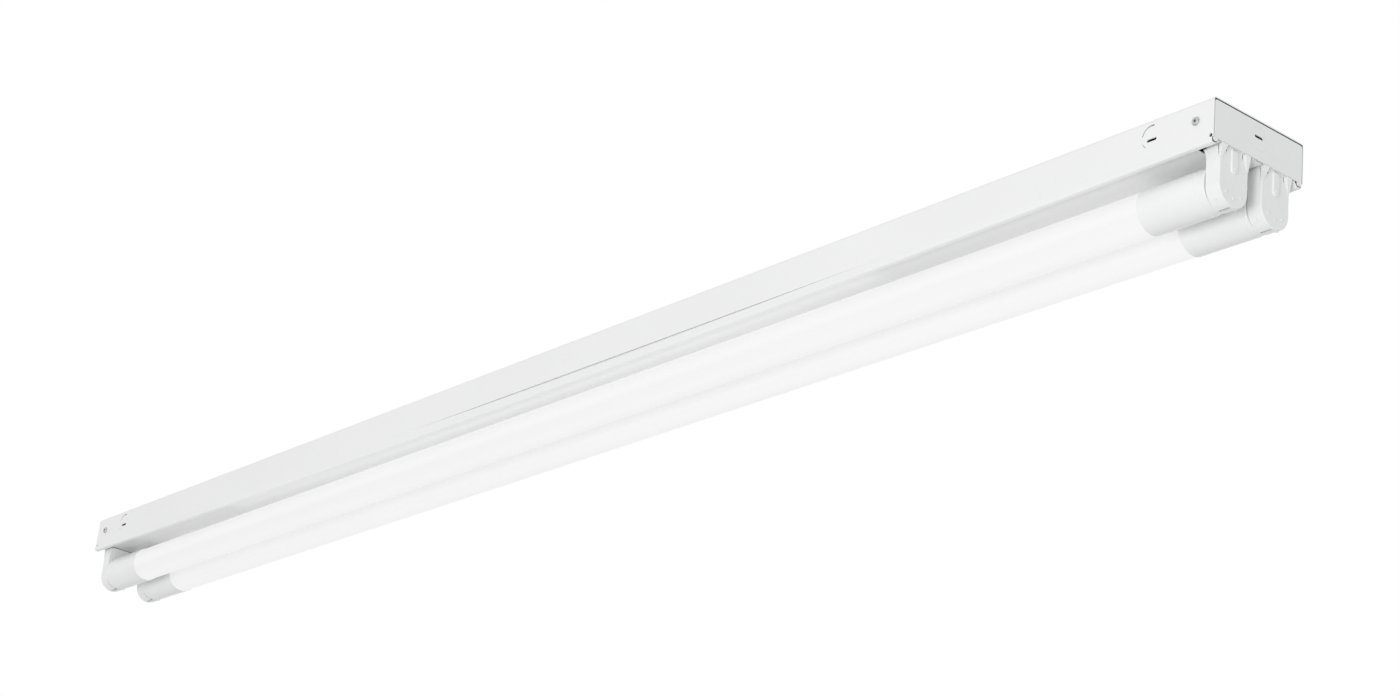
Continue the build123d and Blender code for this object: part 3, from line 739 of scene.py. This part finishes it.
@dataclass(frozen=True)
class SoftLamp:
    """A soft rectangular lamp that the camera doesn't see, in metres and watts."""

    name: str
    place: Point
    aim: Point
    length: float
    width: float
    power: float

    def hang(self) -> None:
        """Hangs the lamp in the scene."""
        light = bpy.data.lights.new(self.name, "AREA")
        light.shape = "RECTANGLE"
        light.size = self.length
        light.size_y = self.width
        light.energy = self.power
        lamp = bpy.data.objects.new(self.name, light)
        lamp.location = self.place
        lamp.rotation_euler = (Vector(self.aim) - Vector(self.place)).to_track_quat("-Z", "Y").to_euler()
        lamp.visible_camera = False
        bpy.context.scene.collection.objects.link(lamp)


@dataclass
class Studio:
    """Floor, surrounding light, lamps and camera."""

    floor_drop: float = 6.0
    floor_size: float = 90.0
    floor_colour: Colour = (0.92, 0.92, 0.92)
    floor_roughness: float = 0.8
    white: Colour = (1.0, 1.0, 1.0)
    fill: float = 0.665
    soft_lamps: tuple[SoftLamp, ...] = (
        SoftLamp(
            "front_soft",
            place=(1.9, -3.29, -1.5),
            aim=(0.0, 0.0, -0.03),
            length=1.3,
            width=1.3,
            power=58.5,
        ),
        SoftLamp(
            "front_tube_glow",
            place=(-0.03, -0.0258, -0.0356),
            aim=(-0.03, -0.0758, 0.9644),
            length=0.74,
            width=0.008,
            power=0.008,
        ),
        SoftLamp(
            "rear_tube_glow",
            place=(-0.03, 0.0258, -0.0356),
            aim=(-0.03, 0.0758, 0.9644),
            length=0.74,
            width=0.008,
            power=0.008,
        ),
    )
    camera_place: Point = (1.525406, -1.081810, -0.731951)
    camera_right: Point = (0.6431412, 0.7595270, 0.0974072)
    camera_down: Point = (-0.2307519, 0.3135234, -0.9211171)
    camera_ahead: Point = (-0.7301527, 0.5699315, 0.3769021)
    focal_length: float = 73.4444
    sensor: float = 36.0
    clip_near: float = 0.01
    clip_far: float = 100.0

    def backdrop_shader(self, tree: bpy.types.NodeTree, lit: bpy.types.NodeSocket) -> bpy.types.NodeSocket:
        """Puts plain white behind everything that the camera, a gloss or a glass sees.

        Args:
            tree: The world's node tree.
            lit: The shader that lights the object.

        Returns:
            The shader to put out.
        """
        nodes, links = tree.nodes, tree.links
        path = nodes.new("ShaderNodeLightPath")
        direct = math_node(tree, "ADD")
        links.new(path.outputs["Is Camera Ray"], direct.inputs[0])
        links.new(path.outputs["Is Glossy Ray"], direct.inputs[1])
        seen = math_node(tree, "ADD")
        seen.use_clamp = True
        links.new(direct.outputs[0], seen.inputs[0])
        links.new(path.outputs["Is Transmission Ray"], seen.inputs[1])
        plain = nodes.new("ShaderNodeBackground")
        plain.inputs["Color"].default_value = (*self.white, 1.0)
        plain.inputs["Strength"].default_value = 1.0
        mix = nodes.new("ShaderNodeMixShader")
        links.new(seen.outputs[0], mix.inputs["Fac"])
        links.new(lit, mix.inputs[1])
        links.new(plain.outputs[0], mix.inputs[2])
        return mix.outputs[0]

    def world(self) -> None:
        """Sets an even pale surrounding light."""
        world = bpy.data.worlds.new("soft_room")
        bpy.context.scene.world = world
        world.use_nodes = True
        tree = world.node_tree
        lit = tree.nodes["Background"]
        lit.inputs["Color"].default_value = (*self.white, 1.0)
        lit.inputs["Strength"].default_value = self.fill
        shader = self.backdrop_shader(tree, lit.outputs[0])
        tree.links.new(shader, tree.nodes["World Output"].inputs["Surface"])

    def floor(self) -> None:
        """Lays the pale floor of the room."""
        shape = bmesh.new()
        bmesh.ops.create_grid(shape, x_segments=1, y_segments=1, size=self.floor_size / 2)
        bmesh.ops.translate(shape, verts=shape.verts, vec=(0.0, 0.0, -self.floor_drop))
        mesh = bpy.data.meshes.new("floor")
        shape.to_mesh(mesh)
        shape.free()
        floor = bpy.data.objects.new("floor", mesh)
        bpy.context.scene.collection.objects.link(floor)
        material = bpy.data.materials.new("pale_floor")
        material.use_nodes = True
        shader = material.node_tree.nodes["Principled BSDF"]
        shader.inputs["Base Color"].default_value = (*self.floor_colour, 1.0)
        shader.inputs["Roughness"].default_value = self.floor_roughness
        dress(floor, material)

    def camera(self) -> None:
        """Sets the camera at the photograph's place."""
        data = bpy.data.cameras.new("camera")
        data.sensor_width = self.sensor
        data.lens = self.focal_length
        data.clip_start = self.clip_near
        data.clip_end = self.clip_far
        camera = bpy.data.objects.new("camera", data)
        right, down, ahead = (Vector(v) for v in (self.camera_right, self.camera_down, self.camera_ahead))
        turn = Matrix((right, -down, -ahead)).transposed().to_4x4()
        camera.matrix_world = Matrix.Translation(self.camera_place) @ turn
        bpy.context.scene.collection.objects.link(camera)
        bpy.context.scene.camera = camera

    def build(self) -> None:
        """Sets up the whole studio."""
        bpy.context.scene.view_settings.view_transform = "Standard"
        self.world()
        self.floor()
        for lamp in self.soft_lamps:
            lamp.hang()
        self.camera()
        log.info("studio ready")


def main() -> None:
    """Dresses the fixture and sets up the studio."""
    logging.basicConfig(level=logging.INFO)
    finishes = FinishSet()
    Wireway(finishes).build()
    Lampholders(finishes).build()
    for row in Row:
        TubeLamp(row, finishes).build()
    Wiring(finishes).build()
    Studio().build()


if __name__ == "__main__":
    main()
